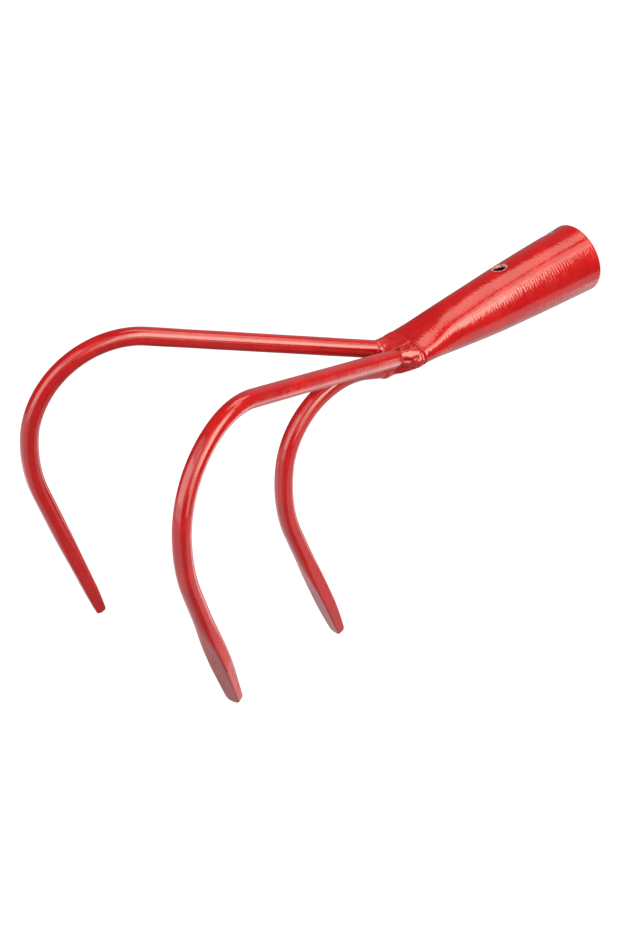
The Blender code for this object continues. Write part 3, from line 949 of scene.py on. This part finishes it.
def weld_enamel():
    """Glossy, with painted shade that darkens the hollows of the beads."""
    coat = Enamel("weld_enamel", peel_scale=900.0, peel_strength=0.12, gloss=0.17)
    nodes = coat.nodes
    pointiness = nodes.add("ShaderNodeNewGeometry").outputs["Pointiness"]
    # Painted shade: pointiness finds the hollows of the beads, and they are darkened where shadow falls
    hollow_shade = nodes.ramp(pointiness, low=0.49, high=0.44)
    coat.wear(nodes.times(hollow_shade, HOLLOW_SHADE_SHARE), SHADED_RED, roughness=0.3)
    return coat.finish()


# Camera, at the photograph's angle: its place from the apex, and its right and backward axes


CAMERA_PLACE = Vector((-1.1676, -1.0490, 0.4477))
CAMERA_RIGHT = Vector((0.723, -0.653, 0.226))
CAMERA_BACK = Vector((-0.688, -0.652, 0.317))
CAMERA_LENS = 117.28
CAMERA_SENSOR = 36.0
CAMERA_SHIFT = -0.0002


def make_camera():
    camera = bpy.data.cameras.new("camera")
    camera.lens = CAMERA_LENS
    camera.sensor_width = CAMERA_SENSOR
    camera.clip_start = 0.05
    camera.clip_end = 50.0
    camera.shift_x = camera.shift_y = CAMERA_SHIFT
    item = bpy.data.objects.new("camera", camera)
    bpy.context.scene.collection.objects.link(item)
    back = CAMERA_BACK.normalized()
    right = (CAMERA_RIGHT - back * CAMERA_RIGHT.dot(back)).normalized()
    turn = Matrix((right, back.cross(right), back)).transposed().to_4x4()
    item.matrix_world = Matrix.Translation(APEX + CAMERA_PLACE) @ turn
    bpy.context.scene.camera = item


# Studio


WARM = (1.0, 0.97, 0.80)
PLAIN = (1.0, 0.98, 0.94)
WHITE = (1.0, 1.0, 1.0, 1.0)
FLOOR_GREY = (0.12, 0.12, 0.12, 1.0)

# Softboxes: azimuth, elevation, distance, width and height, radiance, colour
SOFTBOXES = {
    "key_light": (1.1, 26.8, 0.915, (0.72, 1.30), 2.5, WARM),
    "key_core": (7.2, 34.6, 0.615, (0.39, 0.43), 4.7, WARM),
    "key_wing": (-24.1, 23.2, 0.859, (0.34, 0.51), 2.6, WARM),
    "side_light": (-99.7, 10.8, 1.45, (1.04, 1.05), 2.25, PLAIN),
    "side_wide": (-98.4, 14.5, 1.203, (1.44, 1.77), 1.3, PLAIN),
    "top_light": (130.1, 77.3, 0.557, (0.36, 0.22), 2.5, WARM),
    "top_front": (29.4, 61.6, 1.199, (0.79, 0.39), 2.4, WARM),
    "low_right": (84.7, -6.7, 1.732, (0.73, 1.19), 1.8, PLAIN),
    "low_back": (-163.3, -30.8, 1.211, (1.19, 0.71), 0.48, PLAIN),
    "low_front": (45.1, -23.1, 1.634, (1.28, 0.75), 0.75, PLAIN),
}

# Walls of the room that the enamel mirrors: azimuth, elevation, reach in degrees, strength
ROOM_LIGHT = 0.10
WALLS = (
    (-110, -50, 60, 1.0),
    (-50, 40, 42, 0.8),
    (120, 20, 42, 0.27),
    (0, -40, 50, 0.17),
    (158, -44, 28, 0.9),
    (95, -33, 32, 0.7),
)

# Soft glow on matt surfaces, level with them and as it grows overhead
GLOW_LEVEL = 0.50
GLOW_RISE = 0.60


def toward(azimuth, elevation):
    azimuth, elevation = math.radians(azimuth), math.radians(elevation)
    return Vector((math.sin(azimuth) * math.cos(elevation), -math.cos(azimuth) * math.cos(elevation),
                   math.sin(elevation)))


def softbox(name, azimuth, elevation, distance, size, radiance, colour):
    """A soft rectangular light that faces the head, seen from it at an azimuth and elevation."""
    light = bpy.data.lights.new(name, "AREA")
    light.shape = "RECTANGLE"
    light.size, light.size_y = size
    light.energy = radiance * math.pi * size[0] * size[1]
    light.color = colour
    item = bpy.data.objects.new(name, light)
    bpy.context.scene.collection.objects.link(item)
    item.location = AIM + toward(azimuth, elevation) * distance
    item.rotation_euler = toward(azimuth, elevation).to_track_quat("Z", "Y").to_euler()
    item.visible_camera = False


def make_floor():
    """A wide pale sheet that the head stands on, which only the camera sees."""
    half = 9.0
    mesh = bpy.data.meshes.new("floor")
    mesh.from_pydata([(-half, -half, 0), (half, -half, 0), (half, half, 0), (-half, half, 0)], [],
                     [(0, 1, 2, 3)])
    floor = bpy.data.objects.new("floor", mesh)
    bpy.context.scene.collection.objects.link(floor)
    paper = bpy.data.materials.new("floor_paper")
    paper.use_nodes = True
    shader = paper.node_tree.nodes["Principled BSDF"]
    shader.inputs["Base Color"].default_value = FLOOR_GREY
    shader.inputs["Roughness"].default_value = 0.9
    shader.inputs["Specular IOR Level"].default_value = 0.0
    shader.inputs["Emission Color"].default_value = WHITE
    shader.inputs["Emission Strength"].default_value = 0.95
    mesh.materials.append(paper)
    floor.visible_glossy = False
    floor.visible_diffuse = False
    floor.visible_shadow = False


def make_world():
    """The room's walls as the enamel mirrors them, a glow on matt surfaces, and white to the camera."""
    world = bpy.data.worlds.new("studio")
    world.use_nodes = True
    world.cycles.sampling_method = "NONE"
    nodes = Nodes(world.node_tree)
    background = world.node_tree.nodes["Background"]
    direction = nodes.add("ShaderNodeTexCoord").outputs["Generated"]
    room = ROOM_LIGHT
    for azimuth, elevation, reach, strength in WALLS:
        nearness = nodes.vector("DOT_PRODUCT", direction, tuple(toward(azimuth, elevation)), "Value")
        patch = nodes.ramp(nearness, low=math.cos(math.radians(reach)), high=1.0, at_high=strength)
        room = nodes.plus(room, patch)
    height = nodes.vector("DOT_PRODUCT", direction, (0.0, 0.0, 1.0), "Value")
    glow = nodes.math("MAXIMUM", nodes.follow(height, GLOW_LEVEL, GLOW_RISE), 0.0)
    path = nodes.add("ShaderNodeLightPath").outputs
    room = nodes.plus(room, nodes.times(glow, path["Is Diffuse Ray"]))
    seen = path["Is Camera Ray"]
    strength = nodes.plus(nodes.times(room, nodes.math("SUBTRACT", 1.0, seen)), seen)
    background.inputs["Color"].default_value = WHITE
    nodes.feed(background.inputs["Strength"], strength)
    bpy.context.scene.world = world


def make_studio():
    for name, settings in SOFTBOXES.items():
        softbox(name, *settings)
    make_floor()
    make_world()
    bpy.context.scene.view_settings.view_transform = "Standard"


# The whole scene


make_socket(socket_enamel())
rod_enamel = tine_enamel()
for number, side in enumerate(("left", "centre", "right")):
    make_tine(side, rod_enamel, seed=10.0 + 7 * number)
make_welds(weld_enamel())
make_camera()
make_studio()
